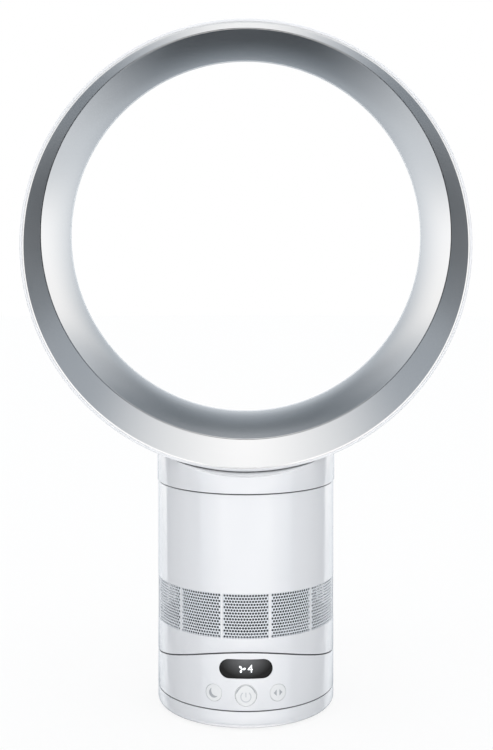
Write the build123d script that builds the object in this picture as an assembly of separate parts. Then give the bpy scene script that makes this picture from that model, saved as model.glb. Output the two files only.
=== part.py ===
from build123d import *
import math
import os

# A bladeless table fan: a round base column in three storeys and an upright hollow air loop.
# Millimetres. The origin is the centre of the underside, +Z is up and the front faces -Y.

# Column: radii, walls and the gaps between storeys
body_radius = 72.0
shell_wall = 2.5
running_gap = 0.3
seam_gap = 1.0
shaft_gap = 0.05

# Foot
foot_height = 14.6
foot_floor = 3.0
foot_wall = 3.0
foot_edge_radius = 5.0
pad_height = 2.4
pad_recess = 1.4
pad_size = 16.0
pad_inset = 20.0
pad_count = 4
post_radius = 10.0
post_bore_radius = 4.0
glide_size = 6.0
inlet_bore_radius = 2.75
inlet_depth = 9.5
inlet_width = 12.0
inlet_height = 8.6
inlet_setback = 0.4
foot_pattern_angle = 45.0

# Swing drive: an internal toothed sector on the foot and a pinion under the turntable
sector_inset = 22.5
sector_full_teeth = 66
sector_teeth = 19
sector_thickness = 6.0
sector_rim = 5.6
pinion_teeth = 12
pinion_shaft_radius = 2.0
tooth_backlash = 0.4
pressure_angle = 20.0
root_share = 1.25
swing_motor_size = 34.0
swing_motor_height = 15.0
swing_motor_corner = 3.4

# Control section
deck_thickness = 3.0
retainer_radius = 15.0
retainer_thickness = 2.0
saddle_plate = 2.3
display_width = 41.3
display_height = 15.0
display_level = 47.8
power_radius = 8.5
power_level = 27.5
side_radius = 6.7
side_level = 28.3
side_angle = 20.2
button_gap = 0.2
button_travel = 1.0
button_depth = 5.2
ear_depth = 1.0
ear_reach = 0.8
ear_setback = 1.5
stem_size = 3.0
board_thickness = 1.6
board_setback = 14.0
control_board_width = 60.0
switch_size = 6.0
switch_height = 2.2
switch_body_height = 1.6
switch_nub = 2.0
module_width = 27.2
receiver_place = 17.3
receiver_width = 4.0
receiver_height = 6.0
mains_board_width = 34.0
mains_board_length = 56.0
mains_board_inset = 19.0
standoff_size = 4.0
standoff_inset = 3.0
capacitor_width = 10.0
capacitor_length = 16.0
capacitor_height = 10.0
choke_size = 12.0
choke_height = 8.0
component_spread = 12.0

# Rocking joint between the control section and the main body
seam_height = 44.0
tilt_radius = 165.0
tilt_range = 10.0
carriage_width = 35.4
carriage_length = 24.0
flange_width = 60.0
flange_length = 44.0
flange_thickness = 2.3

# Main body
body_top = 181.5
window_count = 12
window_angle = 28.6
window_bottom = 71.0
window_height = 34.2
screen_wall = 0.8
screen_margin = 3.0
screen_gap = 0.15
panel_setback = 0.1
lug_count = 3
lug_width = 14.0
lug_height = 2.5
lug_level = 174.0
lug_root = 0.5
lug_angle = 30.0
neck_lug_width = 12.0

# Impeller housing, motor and impeller, all on the column's axis
housing_bottom = 68.0
housing_height = 80.0
housing_inlet_radius = 44.0
housing_inlet_height = 9.0
housing_wall = 1.8
mount_ring_height = 3.0
mount_ring_width = 11.65
impeller_level = 76.0
impeller_height = 26.0
nut_height = 5.0
hub_nose_radius = 12.0
hub_back_radius = 34.0
blade_count = 9
blade_thickness = 1.4
blade_pitch = 48.0
blade_camber = 3.0
tip_gap = 0.9
shaft_radius = 3.0
bucket_radius = 38.0
bucket_wall = 2.0
bucket_gap = 4.0
bucket_height = 40.0
bucket_cap_height = 20.0
cap_tip_radius = 14.0
guide_vane_count = 9
guide_vane_pitch = 22.0
guide_vane_thickness = 1.5
guide_vane_height = 32.0
post_size = 6.0
post_angle = 45.0
cartridge_radius = 7.0
cartridge_length = 14.0
stator_width = 46.0
stator_height = 16.0
stator_yoke = 6.0
pole_width = 7.7
coil_width = 13.0
magnet_radius = 11.5
magnet_gap = 0.8
coil_height = 22.0
motor_board_radius = 32.0

# Neck collar
collar_overhang = 0.7
neck_height = 13.5
roof_thickness = 2.5
seat_gap = 0.7
spigot_setback = 3.1
spigot_wall = 2.0
spigot_length = 12.0
duct_width = 100.0
duct_length = 66.0
divider_width = 16.6

# Air loop: the casing's circle lies lower than the bore's, so the passage narrows to the top
casing_radius = 178.0
casing_wall = 2.1
rear_wall = 2.4
bore_offset = 8.0
loop_depth = 106.0
loop_front = -52.0
casing_edge_radius = 11.0
casing_inner_corner = 7.0
flare_width = 13.4
flare_depth = 15.0
diffuser_width = 13.3
rim_reveal = 1.0
throat_setback = 24.0
nose_radius = 10.5
nose_sweep = 84.0
lip_length = 16.0
lip_wall = 1.2
lip_setback = 1.2
mouth_depth = 8.0
mouth_flare = 6.4
diffuser_wall = 2.2
flare_lip_wall = 1.1
nose_end_slant = 0.3
knee_share = 0.9
spacer_count = 10
spacer_width = 3.0
spacer_height = 2.0

# Heights and radii that follow from the sizes above
inner_radius = body_radius - shell_wall
control_board_front = body_radius - board_setback
sleeve_radius = inner_radius - shaft_gap
housing_radius = sleeve_radius - mount_ring_width - housing_wall
collar_radius = body_radius + collar_overhang
spigot_radius = inner_radius - spigot_setback
turntable_bottom = foot_height + seam_gap
deck_top = turntable_bottom + deck_thickness
tilt_axis = seam_height + tilt_radius
saddle_radius = tilt_radius + seam_gap / 2
belly_radius = tilt_radius - seam_gap / 2
saddle_inner_radius = saddle_radius + saddle_plate
collar_base = body_top + seam_gap
casing_axis = collar_base + neck_height + casing_radius
bore_axis = casing_axis + bore_offset
lip_radius = casing_radius - casing_wall
ridge_radius = lip_radius - flare_width
throat_radius = ridge_radius - diffuser_width
loop_rear = loop_front + loop_depth
lip_front = loop_front + rim_reveal
ridge_y = lip_front + flare_depth
throat_y = loop_rear - throat_setback
sector_radius = body_radius - sector_inset
gear_module = 2 * sector_radius / sector_full_teeth
pinion_radius = gear_module * pinion_teeth / 2
pinion_circle = sector_radius - pinion_radius
foot_floor_top = pad_height - pad_recess + foot_floor


def barrel(radius, low, high):
    """A solid cylinder on the column's axis from one height to another."""
    return Pos(0, 0, low) * Cylinder(radius, high - low, align=(Align.CENTER, Align.CENTER, Align.MIN))


def tube(outer, inner, low, high):
    return barrel(outer, low, high) - barrel(inner, low, high)


def rocker(radius):
    """A cylinder about the tilt axis, which runs from side to side above the control section."""
    return Pos(0, 0, tilt_axis) * Rot(0, 90, 0) * Cylinder(radius, 4 * body_radius)


def block(width, length, low, high, x=0.0, y=0.0):
    """An upright box centred on x and y, from one height to another."""
    return Pos(x, y, low) * Box(width, length, high - low, align=(Align.CENTER, Align.CENTER, Align.MIN))


def around(shape, count, start=0.0):
    """Copies of a shape spread evenly about the column's axis."""
    return [Rot(0, 0, start + index * 360 / count) * shape for index in range(count)]


def saddle_height(radius, y):
    """Height of a rocker surface of the given radius at a distance y from the axis plane."""
    return tilt_axis - math.sqrt(radius**2 - y**2)


def spun(points):
    """A solid turned about the column's axis from (radius, height) points."""
    outline = Polyline([(radius, 0, height) for radius, height in points], close=True)
    return revolve(make_face(outline), Axis.Z)


def loop_spun(edges, height):
    """A solid turned about the loop's fore-and-aft axis; edges lie in radius and y at z = 0."""
    face = Pos(0, 0, height) * Face(Wire(edges))
    return revolve(face, Axis((0, 0, height), (0, 1, 0)))


def polygon_edges(points):
    """The straight edges of a closed outline given as (radius, y) points."""
    return list(Polyline([(radius, y, 0) for radius, y in points], close=True).edges())


def loop_disc(radius, low, high, height):
    """A solid disc about a fore-and-aft axis at the given height, from y = low to y = high."""
    disc = Cylinder(radius, high - low, align=(Align.CENTER, Align.CENTER, Align.MIN))
    return Pos(0, low, height) * Rot(-90, 0, 0) * disc


def save(shape, name):
    export_step(shape, f"parts/{name}.step")


# ---- Foot -------------------------------------------------------------------------------------


def foot_shell():
    """A shallow round dish with a rounded lower edge and a hollow post that the fan turns on."""
    underside = pad_height - pad_recess
    dish = barrel(body_radius, underside, foot_height)
    lower_edge = dish.edges().sort_by(Axis.Z)[0]
    dish = fillet(lower_edge, foot_edge_radius)
    dish -= barrel(body_radius - foot_wall, foot_floor_top, foot_height)
    dish += barrel(post_radius, foot_floor_top, deck_top + running_gap)
    dish -= barrel(post_bore_radius, 0, deck_top + running_gap)
    dish -= foot_pad_blanks()
    wall_middle = body_radius - foot_wall / 2
    inlet_low, inlet_high = inlet_levels()
    dish -= block(inlet_width, 2 * foot_wall, inlet_low, inlet_high, y=wall_middle)
    return dish


def foot_pad_blanks():
    """Eight-sided rubber pads, let into the underside."""
    outline = RegularPolygon(pad_size / 2, 8, major_radius=False)
    pad = Pos(body_radius - pad_inset, 0, 0) * extrude(outline, pad_height)
    return around(pad, pad_count, foot_pattern_angle)


def inlet_levels():
    middle = (foot_floor_top + foot_height) / 2
    return middle - inlet_height / 2, middle + inlet_height / 2


def power_inlet():
    """A low-voltage socket in the rear wall, flush with it, open to the rear."""
    low, high = inlet_levels()
    rear = body_radius - inlet_setback
    front = rear - inlet_depth - shell_wall
    body = block(inlet_width, rear - front, low, high, y=(rear + front) / 2)
    bore = Cylinder(inlet_bore_radius, inlet_depth, align=(Align.CENTER, Align.CENTER, Align.MAX))
    return body - Pos(0, rear, (low + high) / 2) * Rot(-90, 0, 0) * bore


def involute_angle(radius, base):
    """Polar angle of the involute of a base circle where it reaches a radius."""
    pressure = math.acos(min(base / radius, 1.0))
    return math.tan(pressure) - pressure


def flank_half_angle(radius, pitch, half_width):
    """Half of the angle that a tooth, or an inner gear's tooth space, fills at a radius."""
    base = pitch * math.cos(math.radians(pressure_angle))
    at_pitch = half_width / pitch + involute_angle(pitch, base)
    return at_pitch - involute_angle(max(radius, base), base)


def polar(radius, angle):
    return radius * math.cos(angle), radius * math.sin(angle)


def toothed_sector():
    """An internal gear sector on the foot's floor, its middle at the rear."""
    tip = sector_radius - gear_module
    root = sector_radius + root_share * gear_module
    outer = root + sector_rim
    half_space = math.pi * gear_module / 4 + tooth_backlash / 4
    pitch_angle = 2 * math.pi / sector_full_teeth
    centre = math.pi / 2
    tip_half = flank_half_angle(tip, sector_radius, half_space)
    root_half = flank_half_angle(root, sector_radius, half_space)
    points = []
    for index in range(sector_teeth):
        middle = centre + (index - (sector_teeth - 1) / 2) * pitch_angle
        points.append(polar(tip, middle - tip_half))
        points.append(polar(root, middle - root_half))
        points.append(polar(root, middle + root_half))
        points.append(polar(tip, middle + tip_half))
    span = sector_teeth * pitch_angle / 2
    first, last = centre - span, centre + span
    inner_line = Polyline([polar(tip, first)] + points + [polar(tip, last)])
    back = ThreePointArc(polar(outer, last), polar(outer, centre), polar(outer, first))
    end = Line(polar(tip, last), polar(outer, last))
    start = Line(polar(outer, first), polar(tip, first))
    face = Face(Wire(list(inner_line.edges()) + [end, back, start]))
    return Pos(0, 0, foot_floor_top) * extrude(face, sector_thickness, dir=(0, 0, 1))


def glide_posts():
    """Low-friction posts that carry the turntable near its rim."""
    seat = body_radius - foot_wall - glide_size
    post = block(glide_size, glide_size, foot_floor_top, turntable_bottom - running_gap, x=seat)
    return Compound(around(post, pad_count, foot_pattern_angle))


def hub_retainer():
    """An eight-sided keeper on top of the post, just above the turntable deck."""
    outline = RegularPolygon(retainer_radius, 8) - Circle(post_bore_radius)
    return Pos(0, 0, deck_top + running_gap) * extrude(outline, retainer_thickness)


# ---- Swing drive ------------------------------------------------------------------------------


def drive_pinion():
    """A small gear with its shaft, hung under the deck and meshing at the rear of the sector."""
    base = pinion_radius * math.cos(math.radians(pressure_angle))
    root = pinion_radius - root_share * gear_module
    tip = pinion_radius + gear_module
    half_tooth = math.pi * gear_module / 4 - tooth_backlash / 4
    points = []
    for index in range(pinion_teeth):
        middle = math.pi / 2 + index * 2 * math.pi / pinion_teeth
        flank = [(radius, flank_half_angle(radius, pinion_radius, half_tooth))
                 for radius in (root, base, pinion_radius, tip)]
        points += [polar(radius, middle - half) for radius, half in flank]
        points += [polar(radius, middle + half) for radius, half in reversed(flank)]
    teeth = extrude(make_face(Polyline(points, close=True)), sector_thickness - 2 * running_gap)
    low = foot_floor_top + running_gap
    shaft_top = deck_top + swing_motor_height / 2
    shaft = barrel(pinion_shaft_radius, low, shaft_top)
    return Pos(0, pinion_circle, 0) * (Pos(0, 0, low) * teeth + shaft)


def swing_motor():
    """A flat square gear motor on the deck, its shaft hole facing down."""
    outline = Rectangle(swing_motor_size, swing_motor_size)
    outline = chamfer(outline.vertices(), swing_motor_corner)
    body = Pos(0, pinion_circle, deck_top) * extrude(outline, swing_motor_height)
    hole = barrel(pinion_shaft_radius + shaft_gap, deck_top, deck_top + swing_motor_height / 2 + running_gap)
    return body - Pos(0, pinion_circle, 0) * hole


def turntable_deck():
    """The floor of the control section, which turns on the foot's post."""
    deck = tube(inner_radius - shaft_gap, post_radius + shaft_gap, turntable_bottom, deck_top)
    shaft_hole = barrel(pinion_shaft_radius + running_gap, turntable_bottom, deck_top)
    return deck - Pos(0, pinion_circle, 0) * shaft_hole


# ---- Control section --------------------------------------------------------------------------


def pill(width, height, low, high):
    """A pill-shaped prism that runs from y = -high to y = -low at the display's level."""
    outline = Plane((0, -high, display_level), x_dir=(1, 0, 0), z_dir=(0, 1, 0)) * SlotOverall(width, height)
    return extrude(outline, high - low, dir=(0, 1, 0))


def button_peg(radius, level, angle, low, high):
    """A round peg that points out of the front, from one distance off the axis to another."""
    peg = Cylinder(radius, high - low, align=(Align.CENTER, Align.CENTER, Align.MIN))
    return Rot(0, 0, angle) * Pos(0, -low, level) * Rot(90, 0, 0) * peg


def control_shell():
    """A cup turned upside down, with a hollowed top that the main body rocks on."""
    tall = seam_height + body_radius / 2
    shell = barrel(body_radius, turntable_bottom, tall) - rocker(saddle_radius)
    shell -= barrel(inner_radius, turntable_bottom, tall) - rocker(saddle_inner_radius)
    slot_length = 2 * (carriage_length / 2 + tilt_radius * math.sin(math.radians(tilt_range)) + seam_gap)
    shell -= block(carriage_width + 2 * running_gap, slot_length, deck_top, tall)
    outside = body_radius + shell_wall
    inside = inner_radius - 2 * shell_wall
    shell -= pill(display_width, display_height, inside / 2, outside)
    shell -= button_peg(power_radius, power_level, 0, inside, outside)
    shell -= button_peg(side_radius, side_level, side_angle, inside, outside)
    shell -= button_peg(side_radius, side_level, -side_angle, inside, outside)
    return shell


def display_window():
    """The dark pill-shaped lens, flush in the shell's front."""
    ring = tube(body_radius, inner_radius, turntable_bottom, seam_height + body_radius / 2)
    gap = 2 * shaft_gap
    return ring & pill(display_width - gap, display_height - gap, inner_radius / 2, body_radius + shell_wall)


def button(radius, level, angle, stem_end):
    """A push button with a domed face flush with the shell, two ears behind it and a stem."""
    back = body_radius - button_depth
    cap = button_peg(radius - button_gap, level, angle, back, body_radius + shell_wall)
    cap = cap & barrel(body_radius, 0, seam_height)
    ear_middle = inner_radius - running_gap - ear_setback - ear_depth / 2
    ears = Box(2 * (radius + ear_reach), ear_depth, radius / 2)
    stem = Box(stem_size, back - stem_end, stem_size, align=(Align.CENTER, Align.MAX, Align.CENTER))
    extras = Pos(0, -ear_middle, level) * ears + Pos(0, -stem_end, level) * stem
    return cap + Rot(0, 0, angle) * extras


def switch_reach():
    """Distance from the axis of the press switches' tips, straight ahead."""
    return control_board_front + switch_height


def power_button():
    return button(power_radius, power_level, 0, switch_reach() + button_travel + button_gap)


def side_button(angle):
    reach = switch_reach() / math.cos(math.radians(side_angle))
    return button(side_radius, side_level, angle, reach + button_travel + running_gap)


def switch_spots():
    """The (x, z) places of the three press switches, behind the buttons."""
    aside = switch_reach() * math.tan(math.radians(side_angle))
    return [(0, power_level), (-aside, side_level), (aside, side_level)]


def press_switches():
    """Three small press switches with a square nub, on the control board's front."""
    forwards = (Align.CENTER, Align.MAX, Align.CENTER)
    switches = []
    for x, z in switch_spots():
        body = Box(switch_size, switch_body_height, switch_size, align=forwards)
        nub = Box(switch_nub, switch_height, switch_nub, align=forwards)
        switches.append(Pos(x, -control_board_front, z) * (body + nub))
    return Compound(switches)


def control_board():
    """An upright board that stands on the deck behind the display and the buttons."""
    back = control_board_front - board_thickness
    top = saddle_height(saddle_inner_radius, control_board_front - board_thickness) - running_gap
    return block(control_board_width, board_thickness, deck_top, top, y=-(back + board_thickness / 2))


def display_module():
    """The lit module between the control board and the window."""
    lens_back = math.sqrt(inner_radius**2 - (module_width / 2) ** 2)
    front = lens_back - running_gap
    top = saddle_height(saddle_inner_radius, control_board_front) - running_gap
    low = 2 * display_level - top
    length = front - control_board_front
    return block(module_width, length, low, top, y=-(control_board_front + length / 2))


def infrared_receiver():
    """A small receiver beside the display module, looking out through the window."""
    lens_back = math.sqrt(inner_radius**2 - (receiver_place + receiver_width / 2) ** 2)
    length = lens_back - running_gap - control_board_front
    y = -(control_board_front + length / 2)
    low, high = display_level - receiver_height / 2, display_level + receiver_height / 2
    return block(receiver_width, length, low, high, x=receiver_place, y=y)


def mains_board():
    """A flat board on four standoffs at the left of the deck, with a capacitor and a choke."""
    x = mains_board_inset + mains_board_width / 2 - body_radius
    level = deck_top + standoff_size
    board = block(mains_board_width, mains_board_length, level, level + board_thickness, x=x)
    aside = mains_board_width / 2 - standoff_inset
    along = mains_board_length / 2 - standoff_inset
    for side in (-1, 1):
        for end in (-1, 1):
            board += block(standoff_size, standoff_size, deck_top, level, x=x + side * aside, y=end * along)
    capacitor_top = level + capacitor_height
    board += block(capacitor_width, capacitor_length, level, capacitor_top, x=x, y=component_spread)
    board += block(choke_size, choke_size, level, level + choke_height, x=x, y=-component_spread)
    return board


# ---- Rocking joint ----------------------------------------------------------------------------


def tilt_carriage():
    """A T-shaped slide under the main body: its neck runs in the saddle's slot and its flange
    hooks beneath the saddle plate, so the body can rock but not lift off."""
    flange_outer = saddle_inner_radius + running_gap + flange_thickness
    low = saddle_height(flange_outer, 0) - 1
    high = seam_height + body_radius / 2
    neck = block(carriage_width, carriage_length, low, high) & (rocker(flange_outer) - rocker(belly_radius))
    layer = rocker(flange_outer) - rocker(saddle_inner_radius + running_gap)
    return neck + (block(flange_width, flange_length, low, high) & layer)


# ---- Main body --------------------------------------------------------------------------------


def window_blocks(inset, outer, inner):
    """Curved blocks that fill the intake windows between two radii, less an inset all round, with
    a rib between each two."""
    half = math.radians(window_angle / 2) - inset / body_radius
    reach = outer / math.cos(half)
    outline = Polyline([(0, 0), polar(reach, -half), polar(reach, half)], close=True)
    low = window_bottom + inset
    height = window_height - 2 * inset
    wedge = Pos(0, 0, low) * extrude(make_face(outline), height)
    return around(wedge & tube(outer, inner, low, low + height), window_count, 90)


def body_shell():
    """The tall main shell: a round floor that bulges down, intake windows and bayonet lugs."""
    shell = barrel(body_radius, seam_height - 1, body_top) & rocker(belly_radius)
    shell -= barrel(inner_radius, seam_height - 1, body_top) & rocker(belly_radius - shell_wall)
    shell -= window_blocks(0, body_radius + shell_wall, inner_radius - 2 * shell_wall)
    inward = inner_radius - spigot_radius - running_gap
    middle = inner_radius + (lug_root - inward) / 2
    lug = block(inward + lug_root, lug_width, lug_level, lug_level + lug_height, x=middle)
    return shell + around(lug, lug_count, lug_angle)


def intake_screen():
    """A sleeve behind the windows whose raised panels fill them almost flush. The panels' fine
    perforation is left to the finish."""
    low = window_bottom - screen_margin
    high = window_bottom + window_height + screen_margin
    face = body_radius - panel_setback
    screen = tube(sleeve_radius, sleeve_radius - screen_wall, low, high)
    screen += window_blocks(screen_gap, face, sleeve_radius - screen_wall / 2)
    inset = screen_gap + screen_wall
    return screen - window_blocks(inset, face - screen_wall, sleeve_radius - 2 * screen_wall)


def housing_outline(clearance):
    """Inner wall of the housing, less a clearance: a short inlet cone and a straight drum."""
    top = housing_bottom + housing_height
    return [
        (housing_inlet_radius - clearance, housing_bottom),
        (housing_radius - clearance, housing_bottom + housing_inlet_height),
        (housing_radius - clearance, top),
    ]


def impeller_housing():
    """The shroud around the impeller and the guide vanes, open at both ends."""
    outside = housing_outline(-housing_wall)
    return spun(housing_outline(0) + outside[::-1])


def mount_ring():
    """A rubber ring between the housing's top and the shell, which carries and seals it."""
    top = housing_bottom + housing_height
    return tube(sleeve_radius, sleeve_radius - mount_ring_width, top - mount_ring_height, top)


def radial_plate(low_radius, high_radius, thickness, pitch, low, high):
    """A thin vane that runs outwards along X and leans by a pitch angle."""
    lean = math.radians(pitch)
    chord = (high - low) / math.cos(lean)
    middle = (low + high) / 2
    section = Plane((low_radius, 0, middle), x_dir=(0, math.sin(lean), math.cos(lean)), z_dir=(1, 0, 0))
    return extrude(section * Rectangle(chord, thickness), high_radius - low_radius)


def impeller():
    """A mixed-flow impeller: a conical hub and cambered blades that run close to the housing."""
    top = impeller_level + impeller_height
    hub = spun([
        (shaft_radius, impeller_level),
        (hub_nose_radius, impeller_level),
        (hub_back_radius, top),
        (shaft_radius, top),
    ])
    margin = 2 * blade_thickness
    low, high = impeller_level + margin, top - margin
    lean = (high - low) * math.tan(math.radians(blade_pitch)) / 2
    lower = ThreePointArc((-lean, low), (blade_camber, (low + high) / 2), (lean, high))
    upper = Pos(0, blade_thickness) * lower
    ends = [Line(lower @ 1, upper @ 1), Line(upper @ 0, lower @ 0)]
    section = Plane.YZ * Face(Wire([lower, upper] + ends))
    blade = extrude(section, housing_radius + blade_thickness, dir=(1, 0, 0))
    blade = blade & barrel(housing_radius - tip_gap, impeller_level, top)
    blade -= spun([
        (0, impeller_level - 1),
        (hub_nose_radius - 2, impeller_level - 1),
        (hub_back_radius - 2, top + 1),
        (0, top + 1),
    ])
    return hub + around(blade, blade_count)


def shaft_levels():
    """Bottom and top of the motor shaft."""
    return impeller_level, stator_level() + stator_height + 2


def motor_shaft():
    low, high = shaft_levels()
    return barrel(shaft_radius, low, high)


def impeller_nut():
    """A closed hexagonal nut under the impeller's nose."""
    outline = RegularPolygon(2 * shaft_radius, 6)
    return Pos(0, 0, impeller_level - nut_height) * extrude(outline, nut_height)


def bucket_bottom():
    return impeller_level + impeller_height + bucket_gap


def stator_level():
    return bucket_bottom() + bucket_wall + cartridge_length - bucket_gap / 2


def motor_bucket():
    """The motor's cup, carried in the housing by guide vanes, with posts for the stator."""
    low = bucket_bottom()
    high = low + bucket_height
    cup = barrel(bucket_radius, low, high)
    cup -= barrel(bucket_radius - bucket_wall, low + bucket_wall, high)
    cup -= barrel(cartridge_radius, low, low + bucket_wall)
    foot = low + bucket_wall
    vane = radial_plate(bucket_radius - bucket_wall / 2, housing_radius + bucket_wall, guide_vane_thickness,
                        guide_vane_pitch, foot, foot + guide_vane_height)
    vane = vane & barrel(housing_radius - shaft_gap, low, high)
    cup += around(vane, guide_vane_count)
    post = block(post_size, post_size, foot, stator_level(), x=(stator_width - post_size) / 2)
    return cup + around(post, 4, post_angle)


def bucket_cap():
    """The tapered tail that closes the bucket and leads the air on."""
    low = bucket_bottom() + bucket_height
    return spun([
        (0, low),
        (bucket_radius, low),
        (cap_tip_radius, low + bucket_cap_height),
        (0, low + bucket_cap_height),
    ])


def bearing_cartridge():
    """A sleeve that holds both ball bearings, set in the bucket's floor."""
    low = bucket_bottom() - bucket_gap / 2
    return tube(cartridge_radius, shaft_radius + shaft_gap, low, low + cartridge_length)


def stator_core():
    """A laminated stack with a square window and four pole teeth around the rotor."""
    window = stator_width - 2 * stator_yoke
    outline = RegularPolygon(stator_width / 2, 8, major_radius=False) - Rectangle(window, window)
    reach = stator_width - stator_yoke
    teeth = Rectangle(reach, pole_width) + Rectangle(pole_width, reach)
    outline = outline + (teeth - Circle(magnet_radius + magnet_gap))
    return Pos(0, 0, stator_level()) * extrude(outline, stator_height)


def stator_coils():
    """One wound coil around each pole tooth."""
    window_edge = stator_width / 2 - stator_yoke
    bore = magnet_radius + magnet_gap
    depth = window_edge - bore - 2 * running_gap
    middle = stator_level() + stator_height / 2
    low, high = middle - coil_height / 2, middle + coil_height / 2
    place = (window_edge + bore) / 2
    coil = block(depth, coil_width, low, high, x=place)
    hole = block(depth, pole_width, stator_level(), stator_level() + stator_height, x=place)
    return Compound(around(coil - hole, 4))


def rotor_magnet():
    """The ring magnet on the shaft, inside the stator's bore."""
    return tube(magnet_radius, shaft_radius, stator_level(), stator_level() + stator_height)


def motor_board():
    """The drive board that lies on top of the coils."""
    low = stator_level() + stator_height / 2 + coil_height / 2 + running_gap / 2
    return Pos(0, 0, low) * extrude(RegularPolygon(motor_board_radius, 8), board_thickness)


# ---- Neck collar ------------------------------------------------------------------------------


def duct_blank(low, high):
    """The upright air passage from the neck into the loop."""
    return block(duct_width, duct_length, low, high)


def neck_collar():
    """A ring with a roof hollowed to the loop's curve, and a spigot that enters the body."""
    tall = casing_axis - casing_radius / 2
    seat = casing_radius + seat_gap
    hollow = loop_disc(seat, -2 * collar_radius, 2 * collar_radius, casing_axis)
    under_roof = loop_disc(seat + roof_thickness, -2 * collar_radius, 2 * collar_radius, casing_axis)
    collar = barrel(collar_radius, collar_base, tall) - hollow
    collar += barrel(spigot_radius, collar_base - spigot_length, collar_base)
    bore = spigot_radius - spigot_wall
    collar -= barrel(bore, collar_base - spigot_length, tall) - under_roof
    collar -= duct_blank(collar_base, casing_axis - casing_radius + collar_radius / 2)
    lug_top = lug_level - running_gap
    outward = inner_radius - spigot_radius - running_gap
    middle = spigot_radius + (outward - lug_root) / 2
    lug = block(outward + lug_root, neck_lug_width, lug_top - lug_height, lug_top, x=middle)
    return collar + around(lug, lug_count, lug_angle)


def air_divider():
    """A wedge across the duct that parts the air to the loop's two sides."""
    top = casing_axis - casing_radius - seat_gap
    half = divider_width / 2
    outline = Plane.XZ * Polygon((0, collar_base), (half, top), (-half, top), align=Align.NONE)
    return extrude(outline, duct_length / 2 - shaft_gap, both=True)


# ---- Air loop ---------------------------------------------------------------------------------


def nose_points():
    """Centre of the rounded nose, the point where the diffuser meets it and its rear end."""
    centre_r, centre_y = throat_radius + nose_radius, throat_y
    away_r, away_y = ridge_radius - centre_r, ridge_y - centre_y
    distance = math.hypot(away_r, away_y)
    towards = math.atan2(away_y, away_r)
    touch = towards - math.acos(nose_radius / distance)
    front = (centre_r + nose_radius * math.cos(touch), centre_y + nose_radius * math.sin(touch))
    sweep = math.radians(nose_sweep)
    rear = (centre_r - nose_radius * math.cos(sweep), centre_y + nose_radius * math.sin(sweep))
    return (centre_r, centre_y), front, rear


def diffuser_ring():
    """The loop's inner wall: a rounded nose behind the throat, a cone that opens forwards to the
    bright ridge, and a flare that runs out to the casing's off-centre front edge."""
    (centre_r, centre_y), front, rear = nose_points()
    throat = (throat_radius, throat_y)
    nose_back = (rear[0] + nose_end_slant, rear[1] - diffuser_wall)
    knee = (centre_r - (nose_radius - diffuser_wall) * knee_share, throat_y + diffuser_wall)
    wall_back = (ridge_radius + diffuser_wall, ridge_y)
    edges = [ThreePointArc(front, throat, rear)]
    edges.append(Line(rear, nose_back))
    edges.append(Line(nose_back, knee))
    edges.append(Line(knee, wall_back))
    edges.append(Line(wall_back, (ridge_radius, ridge_y)))
    edges.append(Line((ridge_radius, ridge_y), front))
    wall = loop_spun(edges, bore_axis)
    flare = flare_cone(lip_radius, ridge_radius + diffuser_wall)
    flare -= flare_cone(lip_radius - flare_lip_wall, ridge_radius)
    return wall + flare


def flare_cone(front_radius, rear_radius):
    """A solid between a lip circle and a ridge circle, which have different centres."""
    facing = (0, 1, 0)
    lip = Plane((0, lip_front, casing_axis), x_dir=(1, 0, 0), z_dir=facing)
    ridge = Plane((0, ridge_y, bore_axis), x_dir=(1, 0, 0), z_dir=facing)
    return loft([lip * Circle(front_radius), ridge * Circle(rear_radius)], ruled=True)


def loop_casing():
    """The loop's outer shell, open at the front: a drum with a rounded rear edge, whose rear wall
    turns in and runs forwards again as the thin lip of the air slot."""
    drum = loop_disc(casing_radius, loop_front, loop_rear, casing_axis)
    rear_edge = drum.edges().sort_by(Axis.Y)[-1]
    drum = fillet(rear_edge, casing_edge_radius)
    lip_inner = throat_radius + lip_setback
    mouth = lip_inner + mouth_flare
    past = loop_rear + 1
    bore = polygon_edges([
        (0, loop_front - 1), (lip_inner, loop_front - 1), (lip_inner, loop_rear - mouth_depth),
        (mouth, loop_rear), (mouth, past), (0, past),
    ])
    rear_inner = loop_rear - rear_wall
    chamber = polygon_edges([
        (0, loop_front - 1), (lip_radius, loop_front - 1), (lip_radius, rear_inner - casing_inner_corner),
        (lip_radius - casing_inner_corner, rear_inner), (0, rear_inner),
    ])
    lip_outer = lip_inner + lip_wall
    core = polygon_edges([
        (0, loop_rear - lip_length), (lip_outer, loop_rear - lip_length),
        (lip_outer, loop_rear - mouth_depth), (mouth + lip_wall, rear_inner),
        (mouth + lip_wall, past), (0, past),
    ])
    shell = drum - loop_spun(bore, bore_axis)
    shell -= loop_spun(chamber, casing_axis) - loop_spun(core, bore_axis)
    low = casing_axis - casing_radius - seat_gap
    return shell - duct_blank(low, low + collar_radius / 2)


def slot_spacers():
    """Small ribs on the casing's rear wall that hold the nose at its distance from the lip."""
    front = throat_y + nose_radius + running_gap
    back = loop_rear - rear_wall
    inner = throat_radius + lip_setback + mouth_flare + lip_wall + running_gap
    rib = Box(spacer_width, back - front, spacer_height, align=(Align.CENTER, Align.MIN, Align.MIN))
    rib = Pos(0, front, inner) * rib
    ribs = [Rot(0, (index + 0.5) * 360 / spacer_count, 0) * rib for index in range(spacer_count)]
    return Pos(0, 0, bore_axis) * Compound(ribs)


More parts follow.
